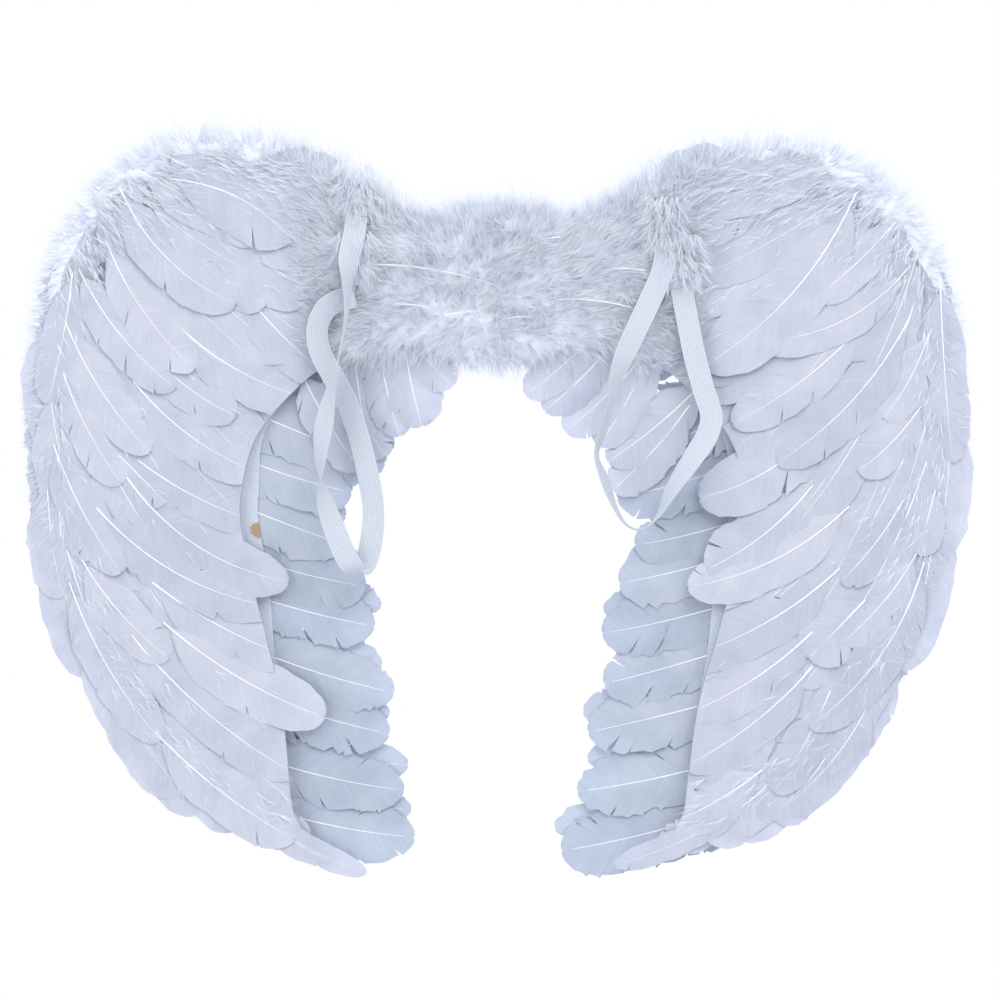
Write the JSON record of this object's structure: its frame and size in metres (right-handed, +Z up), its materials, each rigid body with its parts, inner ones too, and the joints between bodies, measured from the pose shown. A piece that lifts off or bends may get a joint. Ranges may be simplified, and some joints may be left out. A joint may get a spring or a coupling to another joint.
{
  "type": "feather costume wings",
  "caption": "White feather angel or fairy wings on folding card, with marabou edging and elastic shoulder loops, worn on the back.",
  "frame": {"origin": "on the flat face of the yoke's marabou pad that rests on the wearer's back, on the centre line", "axes": "+X across the back to the right as seen from the wearer's side, +Y away from the wearer, +Z up; -Y faces the wearer"},
  "size_m": [0.5963, 0.0475, 0.4611],
  "materials": {
    "card": "uncoated white grey board",
    "tape": "matt gummed tape",
    "marabou": "bleached white marabou down",
    "covert_feather": "bleached white goose feathers, soft sheen",
    "flight_feather": "bleached white goose feathers, soft sheen",
    "elastic": "ribbed white woven elastic",
    "staple": "galvanised wire"
  },
  "bodies": {
    "yoke": {"yoke_front_card": "card", "yoke_rear_card": "card", "yoke_front_pad": "marabou", "yoke_rear_pad": "marabou", "left_fold_tape_yoke_half": "tape", "right_fold_tape_yoke_half": "tape"},
    "left_wing": {"left_front_card": "card", "left_rear_card": "card", "left_fold_tape_wing_half": "tape", "left_shoulder_pad": "marabou", "left_front_feathers_lower": "covert_feather", "left_front_feathers_middle": "covert_feather", "left_front_feathers_upper": "covert_feather", "left_rear_feathers_lower": "covert_feather", "left_rear_feathers_upper": "covert_feather", "left_edge_fringe": "marabou", "left_underarm_feathers": "flight_feather", "left_flight_feather_1": "flight_feather", "left_flight_feather_2": "flight_feather", "left_flight_feather_3": "flight_feather", "left_flight_feather_4": "flight_feather", "left_flight_feather_5": "flight_feather", "left_flight_feather_6": "flight_feather", "left_flight_feather_7": "flight_feather", "left_flight_feather_8": "flight_feather", "left_flight_feather_9": "flight_feather", "left_strap_upper_tab": "elastic", "left_strap_upper_staple": "staple", "left_strap_lower_tab": "elastic", "left_strap_lower_staple": "staple"},
    "left_strap": {"left_strap": "elastic"},
    "right_wing": {"right_front_card": "card", "right_rear_card": "card", "right_fold_tape_wing_half": "tape", "right_shoulder_pad": "marabou", "right_front_feathers_lower": "covert_feather", "right_front_feathers_middle": "covert_feather", "right_front_feathers_upper": "covert_feather", "right_rear_feathers_lower": "covert_feather", "right_rear_feathers_upper": "covert_feather", "right_edge_fringe": "marabou", "right_underarm_feathers": "flight_feather", "right_flight_feather_1": "flight_feather", "right_flight_feather_2": "flight_feather", "right_flight_feather_3": "flight_feather", "right_flight_feather_4": "flight_feather", "right_flight_feather_5": "flight_feather", "right_flight_feather_6": "flight_feather", "right_flight_feather_7": "flight_feather", "right_flight_feather_8": "flight_feather", "right_flight_feather_9": "flight_feather", "right_strap_upper_tab": "elastic", "right_strap_upper_staple": "staple", "right_strap_lower_tab": "elastic", "right_strap_lower_staple": "staple"},
    "right_strap": {"right_strap": "elastic"}
  },
  "joints": [
    {"name": "left_wing_fold", "type": "hinge", "parent": "yoke", "child": "left_wing", "pos_m": [-0.038, 0.01315, 0], "axis": [0, 0, -1], "range_deg": [-12, 90]},
    {"name": "right_wing_fold", "type": "hinge", "parent": "yoke", "child": "right_wing", "pos_m": [0.038, 0.01315, 0], "axis": [0, 0, 1], "range_deg": [-12, 90]},
    {"name": "left_strap_swing", "type": "hinge", "parent": "left_wing", "child": "left_strap", "pos_m": [-0.088, -0.0009, 0.0472], "axis": [-1, 0, 0], "range_deg": [0, 120]},
    {"name": "right_strap_swing", "type": "hinge", "parent": "right_wing", "child": "right_strap", "pos_m": [0.106, -0.0009, 0.0258], "axis": [-1, 0, 0], "range_deg": [0, 120]}
  ]
}
